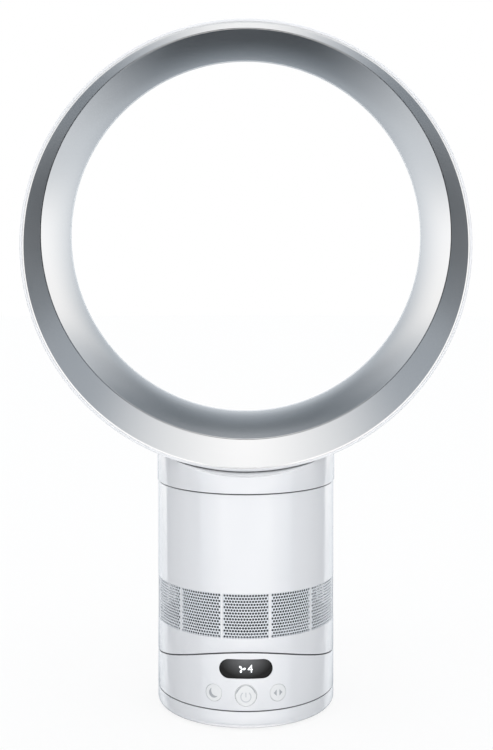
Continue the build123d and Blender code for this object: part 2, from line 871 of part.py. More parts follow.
def main():
    os.makedirs("parts", exist_ok=True)
    save(foot_shell(), "foot_shell")
    save(Compound(foot_pad_blanks()), "foot_pads")
    save(power_inlet(), "power_inlet")
    save(toothed_sector(), "toothed_sector")
    save(glide_posts(), "glide_posts")
    save(hub_retainer(), "hub_retainer")
    save(drive_pinion(), "drive_pinion")
    save(swing_motor(), "swing_motor")
    save(turntable_deck(), "turntable_deck")
    save(control_shell(), "control_shell")
    save(display_window(), "display_window")
    save(display_module(), "display_module")
    save(infrared_receiver(), "infrared_receiver")
    save(control_board(), "control_board")
    save(press_switches(), "press_switches")
    save(mains_board(), "mains_board")
    save(power_button(), "power_button")
    save(side_button(-side_angle), "sleep_button")
    save(side_button(side_angle), "swing_button")
    save(tilt_carriage(), "tilt_carriage")
    save(body_shell(), "body_shell")
    save(intake_screen(), "intake_screen")
    save(impeller_housing(), "impeller_housing")
    save(mount_ring(), "mount_ring")
    save(motor_bucket(), "motor_bucket")
    save(bucket_cap(), "bucket_cap")
    save(bearing_cartridge(), "bearing_cartridge")
    save(stator_core(), "stator_core")
    save(stator_coils(), "stator_coils")
    save(motor_board(), "motor_board")
    save(impeller(), "impeller")
    save(motor_shaft(), "motor_shaft")
    save(rotor_magnet(), "rotor_magnet")
    save(impeller_nut(), "impeller_nut")
    save(neck_collar(), "neck_collar")
    save(air_divider(), "air_divider")
    save(loop_casing(), "loop_casing")
    save(diffuser_ring(), "diffuser_ring")
    save(slot_spacers(), "slot_spacers")


main()
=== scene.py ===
import math

import bmesh
import bpy
from mathutils import Matrix, Vector


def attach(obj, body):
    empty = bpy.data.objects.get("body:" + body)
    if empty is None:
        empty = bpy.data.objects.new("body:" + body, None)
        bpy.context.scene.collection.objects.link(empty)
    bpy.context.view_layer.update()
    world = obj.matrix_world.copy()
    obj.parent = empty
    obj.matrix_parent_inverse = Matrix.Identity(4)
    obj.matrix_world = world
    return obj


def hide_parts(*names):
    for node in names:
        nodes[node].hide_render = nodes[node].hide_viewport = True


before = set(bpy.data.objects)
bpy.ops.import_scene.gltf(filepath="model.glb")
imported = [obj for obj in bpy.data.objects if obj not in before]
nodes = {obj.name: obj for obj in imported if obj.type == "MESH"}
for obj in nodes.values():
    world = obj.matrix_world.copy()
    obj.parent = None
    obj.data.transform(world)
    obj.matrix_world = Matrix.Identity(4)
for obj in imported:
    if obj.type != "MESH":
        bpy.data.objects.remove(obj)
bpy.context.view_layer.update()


# ---- Foot dish --------------------------------------------------------------------------------
# The shallow white dish that the fan stands on, injection moulded in high gloss. A hollow post
# rises from its floor for the fan to turn on, and a window in its rear wall takes the power
# inlet. A dark grey ring lies in the seam on top: painted shade, standing in for the shadow
# in the gap.

MM = 0.001
TOUCH = 1e-6
body_radius = 72.0
foot_under, foot_floor, foot_top = 1.0, 4.0, 14.6
foot_bend, foot_inner_radius = 5.0, 69.0
moulded_edge = 0.25
post_radius, post_bore, post_top = 10.0, 4.0, 18.9
inlet_width, inlet_low, inlet_high = 12.0, 5.0, 13.6
window_inside, window_outside = 66, 78


def turned(bm, corners, steps=360):
    """Spins an outline about the column's axis. Corners are (radius, height) in millimetres, and
    a third number rounds the corner. Gives back the new points."""
    before = set(bm.verts)
    points = [bm.verts.new((c[0] * MM, 0, c[1] * MM)) for c in corners]
    for pair in zip(points, points[1:]):
        bm.edges.new(pair)
    for point, corner in zip(points, corners):
        if len(corner) > 2:
            segments = max(4, int(corner[2] * 2))
            bmesh.ops.bevel(bm, geom=[point], offset=corner[2] * MM, segments=segments,
                            profile=0.5, affect="VERTICES", material=-1)
    line = [v for v in bm.verts if v not in before]
    edges = list({e for v in line for e in v.link_edges})
    bmesh.ops.spin(bm, geom=line + edges, axis=(0, 0, 1), cent=(0, 0, 0), steps=steps,
                   angle=2 * math.pi, use_merge=True)
    new = [v for v in bm.verts if v not in before]
    bmesh.ops.remove_doubles(bm, verts=new, dist=TOUCH)
    return [v for v in bm.verts if v not in before]


def flat_ring(bm, inner, outer, low, high):
    """A ring of square section, in millimetres."""
    turned(bm, [(inner, low), (outer, low), (outer, high), (inner, high), (inner, low)])


def shifted(bm, points, x=0.0, y=0.0, z=0.0):
    """Moves points, in millimetres."""
    bmesh.ops.translate(bm, verts=points, vec=(x * MM, y * MM, z * MM))


def block(bm, low, high):
    """A box between two corners, in millimetres."""
    made = bmesh.ops.create_cube(bm, size=MM)["verts"]
    bmesh.ops.scale(bm, verts=made, vec=[b - a for a, b in zip(low, high)])
    shifted(bm, made, *[(a + b) / 2 for a, b in zip(low, high)])


def carved(bm, tool):
    """Cuts one closed shape with another and gives back the result."""
    works = []
    for shape in (bm, tool):
        bmesh.ops.recalc_face_normals(shape, faces=shape.faces)
        mesh = bpy.data.meshes.new("work")
        shape.to_mesh(mesh)
        shape.free()
        works.append(bpy.data.objects.new("work", mesh))
        bpy.context.scene.collection.objects.link(works[-1])
    cut = works[0].modifiers.new("cut", "BOOLEAN")
    cut.operation = "DIFFERENCE"
    cut.solver = "EXACT"
    cut.object = works[1]
    bpy.context.view_layer.update()
    result = bmesh.new()
    result.from_object(works[0], bpy.context.evaluated_depsgraph_get())
    for work in works:
        bpy.data.meshes.remove(work.data)
    return result


def finished(bm, name, body, material, crease=30, replaced=()):
    """Turns a shape into a smooth piece that rides on a body and stands for its CAD nodes."""
    bmesh.ops.recalc_face_normals(bm, faces=bm.faces)
    mesh = bpy.data.meshes.new(name)
    bm.to_mesh(mesh)
    bm.free()
    mesh.shade_smooth()
    mesh.set_sharp_from_angle(angle=math.radians(crease))
    mesh.materials.append(material)
    piece = bpy.data.objects.new(name, mesh)
    bpy.context.scene.collection.objects.link(piece)
    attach(piece, body)
    if replaced:
        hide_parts(*replaced)
    return piece


def moulded_skin():
    """The surface that moulded and painted plastic has: a slow drift of tone, a polish that
    varies a little, and the faint ripple that shows in its reflections."""
    group = bpy.data.node_groups.new("moulded_skin", "ShaderNodeTree")
    socket = group.interface.new_socket
    colour = socket("Colour", in_out="INPUT", socket_type="NodeSocketColor")
    colour.default_value = (0.8, 0.8, 0.8, 1)
    for label, value in (("Drift", 0.02), ("Polish", 0.1), ("Polish Drift", 0.03),
                         ("Ripple Size", 0.002)):
        number = socket(label, in_out="INPUT", socket_type="NodeSocketFloat")
        number.default_value = value
    socket("Colour", in_out="OUTPUT", socket_type="NodeSocketColor")
    socket("Roughness", in_out="OUTPUT", socket_type="NodeSocketFloat")
    socket("Height", in_out="OUTPUT", socket_type="NodeSocketFloat")
    add, link = group.nodes.new, group.links.new
    given, out = add("NodeGroupInput"), add("NodeGroupOutput")
    where = add("ShaderNodeTexCoord")
    slow = add("ShaderNodeTexNoise")
    slow.inputs["Scale"].default_value = 18
    slow.inputs["Detail"].default_value = 3
    link(where.outputs["Object"], slow.inputs["Vector"])
    shift = add("ShaderNodeMath")
    shift.operation = "SUBTRACT"
    shift.inputs[1].default_value = 0.5
    link(slow.outputs["Fac"], shift.inputs[0])
    dim = add("ShaderNodeMath")
    dim.operation = "MULTIPLY_ADD"
    dim.inputs[2].default_value = 1
    link(shift.outputs[0], dim.inputs[0])
    link(given.outputs["Drift"], dim.inputs[1])
    tone = add("ShaderNodeVectorMath")
    tone.operation = "SCALE"
    link(given.outputs["Colour"], tone.inputs[0])
    link(dim.outputs[0], tone.inputs["Scale"])
    link(tone.outputs[0], out.inputs["Colour"])
    rough = add("ShaderNodeMath")
    rough.operation = "MULTIPLY_ADD"
    link(shift.outputs[0], rough.inputs[0])
    link(given.outputs["Polish Drift"], rough.inputs[1])
    link(given.outputs["Polish"], rough.inputs[2])
    link(rough.outputs[0], out.inputs["Roughness"])
    pitch = add("ShaderNodeMath")
    pitch.operation = "DIVIDE"
    pitch.inputs[0].default_value = 1
    link(given.outputs["Ripple Size"], pitch.inputs[1])
    ripple = add("ShaderNodeTexNoise")
    ripple.inputs["Detail"].default_value = 2
    link(where.outputs["Object"], ripple.inputs["Vector"])
    link(pitch.outputs[0], ripple.inputs["Scale"])
    link(ripple.outputs["Fac"], out.inputs["Height"])
    return group


skin = moulded_skin()


def plastic(name, colour, polish, drift=0.02, polish_drift=0.03, ripple=0.002, depth=0.000002,
            coat=0.0, metallic=0.0, coat_polish=0.04):
    """A material made on the moulded skin. Ripple is its width and depth its height, in metres."""
    material = bpy.data.materials.new(name)
    material.use_nodes = True
    tree = material.node_tree
    shader = tree.nodes["Principled BSDF"]
    surface = tree.nodes.new("ShaderNodeGroup")
    surface.node_tree = skin
    surface.inputs["Colour"].default_value = (*colour, 1)
    surface.inputs["Drift"].default_value = drift
    surface.inputs["Polish"].default_value = polish
    surface.inputs["Polish Drift"].default_value = polish_drift
    surface.inputs["Ripple Size"].default_value = ripple
    bump = tree.nodes.new("ShaderNodeBump")
    bump.inputs["Strength"].default_value = 1
    bump.inputs["Distance"].default_value = depth
    tree.links.new(surface.outputs["Colour"], shader.inputs["Base Color"])
    tree.links.new(surface.outputs["Roughness"], shader.inputs["Roughness"])
    tree.links.new(surface.outputs["Height"], bump.inputs["Height"])
    tree.links.new(bump.outputs["Normal"], shader.inputs["Normal"])
    shader.inputs["Metallic"].default_value = metallic
    shader.inputs["Coat Weight"].default_value = coat
    shader.inputs["Coat Roughness"].default_value = coat_polish
    return material


white_gloss = plastic("white_gloss", (0.80, 0.80, 0.815), 0.09, drift=0.01, polish_drift=0.02,
                      ripple=0.02, coat=0.6, coat_polish=0.03)

dish = bmesh.new()
turned(dish, [
    (post_bore, foot_under), (body_radius, foot_under, foot_bend),
    (body_radius, foot_top, moulded_edge), (foot_inner_radius, foot_top),
    (foot_inner_radius, foot_floor), (post_radius, foot_floor), (post_radius, post_top),
    (post_bore, post_top), (post_bore, foot_under),
])
window = bmesh.new()
block(window, (-inlet_width / 2, window_inside, inlet_low),
      (inlet_width / 2, window_outside, inlet_high))
finished(carved(dish, window), "foot_dish", "foot", white_gloss,
         replaced=["foot_shell"])

# Painted shade: a dark grey ring in the seam between the dish and the cup, standing in for the
# shadow in the gap.
foot_shade_inner, foot_shade_outer, foot_shade_top = 69.4, 71.3, 15.3
seam_shade_grey = plastic("seam_shade_grey", (0.11, 0.11, 0.115), 0.95, drift=0.3, ripple=0.0003,
                    depth=0.00003)
foot_shade_ring = bmesh.new()
flat_ring(foot_shade_ring, foot_shade_inner, foot_shade_outer, foot_top, foot_shade_top)
finished(foot_shade_ring, "foot_seam_shade", "foot", seam_shade_grey)


# ---- Power inlet ------------------------------------------------------------------------------
# A dark barrel socket held in the window of the foot's rear wall. Its bore has a short lead-in
# and a plated pin down the middle.

inlet_rear, inlet_front = 71.6, 59.6
inlet_middle = (inlet_low + inlet_high) / 2
inlet_gap, inlet_corner = 0.05, 0.35
plug_bore, plug_depth = 2.75, 9.5
plug_mouth, plug_lead, plug_past = 3.6, 0.8, 2
pin_radius, pin_root, pin_tip, pin_nose = 0.9, 9.6, 1.6, 0.6
socket_grey = plastic("socket_grey", (0.035, 0.036, 0.04), 0.42, ripple=0.0006, depth=0.000006)


def plating(name, colour, roughness):
    """Bare or plated metal with fine drawing lines along the column."""
    material = bpy.data.materials.new(name)
    material.use_nodes = True
    tree = material.node_tree
    shader = tree.nodes["Principled BSDF"]
    where = tree.nodes.new("ShaderNodeTexCoord")
    stretch = tree.nodes.new("ShaderNodeMapping")
    stretch.inputs["Scale"].default_value = (900, 900, 60)
    lines = tree.nodes.new("ShaderNodeTexNoise")
    lines.inputs["Scale"].default_value = 1
    spread = tree.nodes.new("ShaderNodeMapRange")
    spread.inputs["To Min"].default_value = roughness * 0.75
    spread.inputs["To Max"].default_value = roughness * 1.3
    tone = tree.nodes.new("ShaderNodeMixRGB")
    tone.inputs["Color1"].default_value = (*[c * 0.82 for c in colour], 1)
    tone.inputs["Color2"].default_value = (*colour, 1)
    tree.links.new(where.outputs["Object"], stretch.inputs["Vector"])
    tree.links.new(stretch.outputs["Vector"], lines.inputs["Vector"])
    tree.links.new(lines.outputs["Fac"], spread.inputs["Value"])
    tree.links.new(lines.outputs["Fac"], tone.inputs["Fac"])
    tree.links.new(spread.outputs["Result"], shader.inputs["Roughness"])
    tree.links.new(tone.outputs["Color"], shader.inputs["Base Color"])
    shader.inputs["Metallic"].default_value = 1
    return material


bright_steel = plating("bright_steel", (0.62, 0.62, 0.63), 0.26)


def swung(bm, points, degrees, axis="Z"):
    """Turns points about an axis through the origin."""
    bmesh.ops.rotate(bm, verts=points, cent=(0, 0, 0),
                     matrix=Matrix.Rotation(math.radians(degrees), 3, axis))


def bored(bm, corners):
    """An outline spun and laid on its side in the inlet's place, so that it points rearwards."""
    made = turned(bm, corners, steps=48)
    swung(bm, made, -90, "X")
    shifted(bm, made, y=inlet_rear, z=inlet_middle)


socket = bmesh.new()
block(socket, (-inlet_width / 2 + inlet_gap, inlet_front, inlet_low + inlet_gap),
      (inlet_width / 2 - inlet_gap, inlet_rear, inlet_high - inlet_gap))
upright_edges = [e for e in socket.edges if abs(e.verts[0].co.y - e.verts[1].co.y) < TOUCH]
bmesh.ops.bevel(socket, geom=upright_edges, offset=inlet_corner * MM, segments=3, profile=0.5,
                affect="EDGES", material=-1)
bore = bmesh.new()
bored(bore, [(0, -plug_depth), (plug_bore, -plug_depth), (plug_bore, -plug_lead),
             (plug_mouth, 0), (plug_mouth, plug_past), (0, plug_past)])
finished(carved(socket, bore), "inlet_socket", "foot", socket_grey,
         replaced=["power_inlet"])
pin = bmesh.new()
bored(pin, [(0, -pin_root), (pin_radius, -pin_root), (pin_radius, -pin_tip, pin_nose),
            (0, -pin_tip)])
finished(pin, "inlet_pin", "foot", bright_steel)


# ---- Control cup ------------------------------------------------------------------------------
# The white storey with the display and the buttons. Its top is a round trough about the tilt
# axis, which the main body rocks in, with a slot for the body's slide. A thin dark grey strip
# lies round the trough's rim: painted shade, standing in for the shadow in the seam.

tilt_axis = 209.0
saddle_radius, saddle_under_radius = 165.5, 167.8
saddle_middle, saddle_under_middle = tilt_axis - saddle_radius, tilt_axis - saddle_under_radius
cup_bottom = 15.6
inner_radius = 69.5
seam_ease = 0.3
display_level, display_width, display_height = 47.8, 41.3, 15.0
power_level, power_radius = 27.5, 8.5
side_level, side_radius, side_angle = 28.3, 6.7, 20.2
hole_front, hole_back = -80, -60
slot_half_width, slot_half_length = 18.0, 41.3
slot_low, slot_high = 30, 62


def spaced(height, widest, step=8):
    """Corners at one height, from the axis outwards, close enough together to be bent."""
    return [(r, height) for r in range(0, widest + 1, step)]


def troughed(bm, height, radius, axis_level=tilt_axis, along=1):
    """Bends the points that lie at one height onto a trough about a level axis, and gives the
    ring of edges around its rim. The trough curves along the depth (1) or the width (0)."""
    found = [v for v in bm.verts if abs(v.co.z - height * MM) < TOUCH]
    reach = max(v.co.xy.length for v in found)
    for v in found:
        v.co.z = axis_level * MM - math.sqrt((radius * MM) ** 2 - v.co[along] ** 2)
    rim = {v for v in found if v.co.xy.length > reach - TOUCH}
    return [e for e in bm.edges if e.verts[0] in rim and e.verts[1] in rim]


def eased(bm, edges, width):
    """Rounds a run of edges."""
    bmesh.ops.recalc_face_normals(bm, faces=bm.faces)
    bmesh.ops.bevel(bm, geom=edges, offset=width * MM, segments=3, profile=0.5,
                    affect="EDGES", material=-1)


def only_points(geom):
    """The points among what an operator gives back."""
    return [g for g in geom if isinstance(g, bmesh.types.BMVert)]


def thicken(bm, faces, depth):
    """Gives flat faces a depth towards the rear, as a closed shape."""
    made = bmesh.ops.extrude_face_region(bm, geom=faces, use_keep_orig=True)["geom"]
    shifted(bm, only_points(made), y=depth)


def pill(bm, width, height, level, front, back):
    """A flat pill that faces the front, from one depth to another."""
    half, radius = (width - height) / 2 * MM, height / 2 * MM
    ends = []
    for side in (1, -1):
        start = bm.verts.new((side * half, front * MM, level * MM + side * radius))
        arc = bmesh.ops.spin(bm, geom=[start], axis=(0, 1, 0), steps=32, angle=math.pi,
                             cent=(side * half, front * MM, level * MM))
        ends.append((start, arc["geom_last"][0]))
    bm.edges.new((ends[0][1], ends[1][0]))
    bm.edges.new((ends[1][1], ends[0][0]))
    bmesh.ops.remove_doubles(bm, verts=bm.verts, dist=1e-7)
    face = bmesh.ops.contextual_create(bm, geom=bm.edges[:])["faces"]
    thicken(bm, face, back - front)


def disc(bm, radius, level, front, back, angle=0.0, segments=96):
    """A round plug that faces the front, turned about the column by an angle in degrees."""
    made = bmesh.ops.create_circle(bm, cap_ends=True, segments=segments,
                                   radius=radius * MM)["verts"]
    face = list({f for v in made for f in v.link_faces})
    swung(bm, made, 90, "X")
    shifted(bm, made, y=front, z=level)
    thicken(bm, face, back - front)
    whole = list({v for f in face for v in f.verts})
    swung(bm, list({v for w in whole for e in w.link_edges for v in e.verts}), angle)


cup = bmesh.new()
turned(cup, spaced(saddle_middle, 64) + [
    (body_radius, saddle_middle), (body_radius, cup_bottom, moulded_edge),
    (inner_radius, cup_bottom), (inner_radius, saddle_under_middle),
] + spaced(saddle_under_middle, 64)[::-1])
seam = troughed(cup, saddle_middle, saddle_radius)
troughed(cup, saddle_under_middle, saddle_under_radius)
eased(cup, seam, seam_ease)
holes = bmesh.new()
pill(holes, display_width, display_height, display_level, hole_front, hole_back)
disc(holes, power_radius, power_level, hole_front, hole_back)
for turn in (-side_angle, side_angle):
    disc(holes, side_radius, side_level, hole_front, hole_back, turn)
block(holes, (-slot_half_width, -slot_half_length, slot_low),
      (slot_half_width, slot_half_length, slot_high))
finished(carved(cup, holes), "control_cup", "control_section", white_gloss,
         replaced=["control_shell"])

# Painted shade: a dark grey strip round the trough's rim, standing in for the shadow in the seam.
strip_inner, strip_outer = 65, 71.2
strip_low, strip_high, strip_radius = 43.6, 44.0, 165.0
strip = bmesh.new()
flat_ring(strip, strip_inner, strip_outer, strip_low, strip_high)
troughed(strip, strip_low, saddle_radius)
troughed(strip, strip_high, strip_radius)
finished(strip, "saddle_seam_shade", "control_section", seam_shade_grey)


# ---- Display lens -----------------------------------------------------------------------------
# A pill of smoked black acrylic, flush in the cup's front. A painted reflection makes its colour
# paler near its top, where the room would show in it. Behind it a lit module shows a small fan
# and the chosen speed in white.

lens_gap, lens_depth = 0.25, 2.4
# Painted reflection: the lens's colour is paler in a patch near its top, a spherical gradient, and
# its own specular is kept low.
lens_painted_reflection_middle, lens_painted_reflection_reach = (0, -0.072, 0.0555), (0.021, 0.021, 0.0145)
lens_black = plastic("lens_black", (0.006, 0.0065, 0.007), 0.07, drift=0.2, polish_drift=0.02,
                     ripple=0.012, depth=0.000001, coat=0.08)
lens_tree = lens_black.node_tree
lens_tree.nodes["Principled BSDF"].inputs["Specular IOR Level"].default_value = 0.1
lens_place = lens_tree.nodes.new("ShaderNodeTexCoord")
lens_painted_reflection_span = lens_tree.nodes.new("ShaderNodeMapping")
lens_painted_reflection_span.vector_type = "TEXTURE"
lens_painted_reflection_span.inputs["Location"].default_value = lens_painted_reflection_middle
lens_painted_reflection_span.inputs["Scale"].default_value = lens_painted_reflection_reach
lens_painted_reflection_fade = lens_tree.nodes.new("ShaderNodeTexGradient")
lens_painted_reflection_fade.gradient_type = "SPHERICAL"
lens_painted_reflection_tone = lens_tree.nodes.new("ShaderNodeMixRGB")
lens_painted_reflection_tone.inputs["Color1"].default_value = (0.003, 0.003, 0.0035, 1)
lens_painted_reflection_tone.inputs["Color2"].default_value = (0.16, 0.16, 0.165, 1)
lens_tree.links.new(lens_place.outputs["Object"], lens_painted_reflection_span.inputs["Vector"])
lens_tree.links.new(lens_painted_reflection_span.outputs["Vector"], lens_painted_reflection_fade.inputs["Vector"])
lens_tree.links.new(lens_painted_reflection_fade.outputs["Fac"], lens_painted_reflection_tone.inputs["Fac"])
lens_tree.links.new(lens_painted_reflection_tone.outputs["Color"], lens_tree.nodes["Group"].inputs["Colour"])


def laid_on(bm, radius, spacing=0.8):
    """Lays a flat shape that faces the front onto the column's round wall: it is sliced both
    ways, and each point goes back by as much as the wall does."""
    for axis in (0, 2):
        low, high = min(v.co[axis] for v in bm.verts), max(v.co[axis] for v in bm.verts)
        count = max(2, round((high - low) / (spacing * MM)))
        side = Vector((axis == 0, 0, axis == 2))
        for index in range(1, count):
            bmesh.ops.bisect_plane(bm, geom=bm.verts[:] + bm.edges[:] + bm.faces[:], dist=1e-8,
                                   plane_co=side * (low + (high - low) * index / count),
                                   plane_no=side)
    for v in bm.verts:
        v.co.y -= math.sqrt((radius * MM) ** 2 - v.co.x ** 2)


lens = bmesh.new()
pill(lens, display_width - lens_gap, display_height - lens_gap, display_level, 0, lens_depth)
rim = [e for e in lens.edges if all(v.co.y < TOUCH for v in e.verts)]
eased(lens, rim, seam_ease)
laid_on(lens, body_radius)
finished(lens, "display_lens", "control_section", lens_black, crease=50,
         replaced=["display_window"])

screen_light = bpy.data.materials.new("screen_light")
screen_light.use_nodes = True
light_tree = screen_light.node_tree
lit = light_tree.nodes["Principled BSDF"]
lit.inputs["Base Color"].default_value = (0.9, 0.93, 0.95, 1)
lit.inputs["Emission Strength"].default_value = 0.9
glow = light_tree.nodes.new("ShaderNodeTexNoise")
glow.inputs["Scale"].default_value = 1400
glow_tone = light_tree.nodes.new("ShaderNodeMixRGB")
glow_tone.inputs["Color1"].default_value = (0.78, 0.82, 0.86, 1)
glow_tone.inputs["Color2"].default_value = (1, 1, 1, 1)
glow_place = light_tree.nodes.new("ShaderNodeTexCoord")
light_tree.links.new(glow_place.outputs["Object"], glow.inputs["Vector"])
light_tree.links.new(glow.outputs["Fac"], glow_tone.inputs["Fac"])
light_tree.links.new(glow_tone.outputs["Color"], lit.inputs["Emission Color"])

glyph_depth, glyph_proud = 0.12, 0.03
fan_place, hub_radius, blade_count, blade_tilt = -3.1, 0.6, 3, 55
blade_width, blade_length, blade_lean, blade_reach = 0.8, 1.2, 0.6, 1.75
sign = bmesh.new()
bmesh.ops.create_circle(sign, cap_ends=True, segments=24, radius=hub_radius * MM)
for blade in range(blade_count):
    petal = bmesh.ops.create_circle(sign, cap_ends=True, segments=24, radius=MM)["verts"]
    bmesh.ops.scale(sign, verts=petal, vec=(blade_width, blade_length, 1))
    shifted(sign, petal, blade_lean, blade_reach)
    swung(sign, petal, blade_tilt + blade * 360 / blade_count)
swung(sign, sign.verts, 90, "X")
shifted(sign, sign.verts, fan_place, 0, display_level)
thicken(sign, sign.faces[:], glyph_depth)
laid_on(sign, body_radius + glyph_proud)
finished(sign, "display_fan_sign", "control_section", screen_light)

digit_size, digit_place = 8.6, 3.4
figure = bpy.data.curves.new("figure", "FONT")
figure.body = "4"
figure.size = digit_size * MM
figure.extrude = glyph_depth / 2 * MM
figure.align_x, figure.align_y = "CENTER", "CENTER"
figure_maker = bpy.data.objects.new("figure_maker", figure)
bpy.context.scene.collection.objects.link(figure_maker)
bpy.context.view_layer.update()
figure_mesh = bpy.data.meshes.new_from_object(
    figure_maker.evaluated_get(bpy.context.evaluated_depsgraph_get()))
digit = bmesh.new()
digit.from_mesh(figure_mesh)
bpy.data.meshes.remove(figure_mesh)
bpy.data.objects.remove(figure_maker)
bmesh.ops.remove_doubles(digit, verts=digit.verts, dist=1e-7)
swung(digit, digit.verts, 90, "X")
shifted(digit, digit.verts, digit_place, glyph_depth / 2, display_level)
laid_on(digit, body_radius + glyph_proud)
finished(digit, "display_digit", "control_section", screen_light)


# ---- Push buttons -----------------------------------------------------------------------------
# Three white caps flush with the wall: sleep, power and swing. The power cap is dished, and the
# pale grey signs are printed on. A grey crescent inside the power cap's upper rim is painted
# shadow, where the dish's edge would shade it.

cap_white = plastic("cap_white", (0.80, 0.80, 0.80), 0.22, drift=0.01, ripple=0.004,
                    depth=0.0000015, coat=0.3)
# The grey of the printed signs, also used for the painted shadow crescent on the power cap.
print_and_shadow_grey = plastic("print_and_shadow_grey", (0.40, 0.41, 0.43), 0.5, drift=0.06, ripple=0.0004)
pale_print = plastic("pale_print", (0.56, 0.57, 0.59), 0.5, drift=0.05, ripple=0.0004)
cap_gap, cap_depth, cap_ease = 0.2, 5.2, 0.12
dish_radius, dish_depth = 8.15, 0.4


def cap(radius, level, angle, dished=False):
    """A button's cap, eased at its rim, laid on the wall and swung to its place."""
    bm = bmesh.new()
    disc(bm, radius - cap_gap, level, 0, cap_depth, segments=120)
    face = [f for f in bm.faces if all(v.co.y < TOUCH for v in f.verts)]
    if dished:
        bmesh.ops.inset_region(bm, faces=face, thickness=(radius - cap_gap - dish_radius) * MM)
        bmesh.ops.inset_region(bm, faces=face, thickness=dish_depth * MM)
        shifted(bm, list({v for f in face for v in f.verts}), y=dish_depth)
    outer = (radius - cap_gap) * MM - TOUCH
    rim = [e for e in bm.edges if all(
        v.co.y < TOUCH and math.hypot(v.co.x, v.co.z - level * MM) > outer for v in e.verts)]
    eased(bm, rim, cap_ease)
    laid_on(bm, body_radius)
    swung(bm, bm.verts, angle)
    return bm


finished(cap(power_radius, power_level, 0, dished=True), "power_cap", "power_button", cap_white,
         replaced=["power_button"])
finished(cap(side_radius, side_level, -side_angle), "sleep_cap", "sleep_button", cap_white,
         replaced=["sleep_button"])
finished(cap(side_radius, side_level, side_angle), "swing_cap", "swing_button", cap_white,
         replaced=["swing_button"])

print_depth, print_proud, print_spacing = 0.1, 0.02, 0.5


def printed(bm, level, angle, proud=print_proud):
    """Stands a flat sign up, gives it its thickness, lays it on the wall and swings it round."""
    swung(bm, bm.verts, 90, "X")
    shifted(bm, bm.verts, z=level)
    thicken(bm, bm.faces[:], print_depth)
    laid_on(bm, body_radius + proud, print_spacing)
    swung(bm, bm.verts, angle)


def stroke(bm, inner, outer, start, sweep):
    """A flat curved stroke between two radii, from an angle through a sweep in degrees."""
    before = set(bm.verts)
    ends = [bm.verts.new((0, r * MM, 0)) for r in (inner, outer)]
    edge = bm.edges.new(ends)
    swung(bm, ends, start)
    bmesh.ops.spin(bm, geom=ends + [edge], axis=(0, 0, 1), cent=(0, 0, 0), steps=48,
                   angle=math.radians(sweep))
    return [v for v in bm.verts if v not in before]


sign_inner, sign_outer, sign_gap, sign_drop = 3.5, 4.3, 38, 1.2
bar_width, bar_length, bar_rise = 0.8, 3.6, 1.5
power_sign = bmesh.new()
stroke(power_sign, sign_inner, sign_outer, sign_gap, 360 - 2 * sign_gap)
bar = bmesh.ops.create_grid(power_sign, x_segments=1, y_segments=4, size=MM / 2)["verts"]
bmesh.ops.scale(power_sign, verts=bar, vec=(bar_width, bar_length, 1))
shifted(power_sign, bar, y=bar_rise)
shifted(power_sign, power_sign.verts, y=-sign_drop)
printed(power_sign, power_level, 0, proud=print_proud - dish_depth)
finished(power_sign, "power_sign", "power_button", pale_print)

# Painted shadow: a grey crescent inside the power cap's upper rim, thickest at the sides, standing
# in for the shade under the dish's edge.
rim_inner, rim_outer, rim_reach = 6.9, 7.7, 82
rim_thin, rim_swell, rim_swell_turn, rim_taper = 0.15, 0.75, 45, 16
rim_painted_shadow = bmesh.new()
for v in stroke(rim_painted_shadow, rim_inner, rim_outer, -rim_reach, 2 * rim_reach):
    turn = abs(math.degrees(math.atan2(v.co.x, v.co.y)))
    if v.co.length < (rim_outer - 0.1) * MM:
        width = rim_thin + (rim_swell * min(turn / rim_swell_turn, 1)
                            * min((rim_reach + 2 - turn) / rim_taper, 1))
        v.co *= (rim_outer - width) * MM / v.co.length
printed(rim_painted_shadow, power_level, 0, proud=print_proud - dish_depth)
finished(rim_painted_shadow, "power_rim_painted_shadow", "power_button", print_and_shadow_grey)

moon_radius, bite_radius, bite_right, bite_up = 3.9, 4.03, 1.86, 1.56
moon_disc = bmesh.new()
bmesh.ops.create_cone(moon_disc, cap_ends=True, segments=64, radius1=moon_radius * MM,
                      radius2=moon_radius * MM, depth=print_depth * MM)
moon_bite = bmesh.new()
bmesh.ops.create_cone(moon_bite, cap_ends=True, segments=64, radius1=bite_radius * MM,
                      radius2=bite_radius * MM, depth=3 * MM)
shifted(moon_bite, moon_bite.verts, bite_right, bite_up)
moon = carved(moon_disc, moon_bite)
swung(moon, moon.verts, 90, "X")
shifted(moon, moon.verts, 0, print_depth / 2, side_level)
laid_on(moon, body_radius + print_proud, print_spacing)
swung(moon, moon.verts, -side_angle)
finished(moon, "sleep_sign", "sleep_button", print_and_shadow_grey)

arrow_length, arrow_width, arrow_place = 1.6, 2.9, 1.95
arrows = bmesh.new()
for side in (-1, 1):
    head = bmesh.ops.create_circle(arrows, cap_ends=True, segments=3, radius=MM)["verts"]
    swung(arrows, head, -side * 90)
    bmesh.ops.scale(arrows, verts=head, vec=(arrow_length, arrow_width, 1))
    shifted(arrows, head, side * arrow_place)
printed(arrows, side_level, side_angle)
finished(arrows, "swing_sign", "swing_button", print_and_shadow_grey)


# ---- Body barrel ------------------------------------------------------------------------------
# The tall white barrel, one gloss moulding. Its floor bulges down to rock in the cup's trough,
# and twelve windows with narrow ribs between them take the intake screen.

body_top = 181.5
belly_radius, belly_inner_radius = 164.5, 162.0
belly_middle, belly_inner_middle = tilt_axis - belly_radius, tilt_axis - belly_inner_radius
window_low, window_high = 71.0, 105.2
window_count, window_turn = 12, 28.6
window_pitch = 360 / window_count
inside_wall = 65

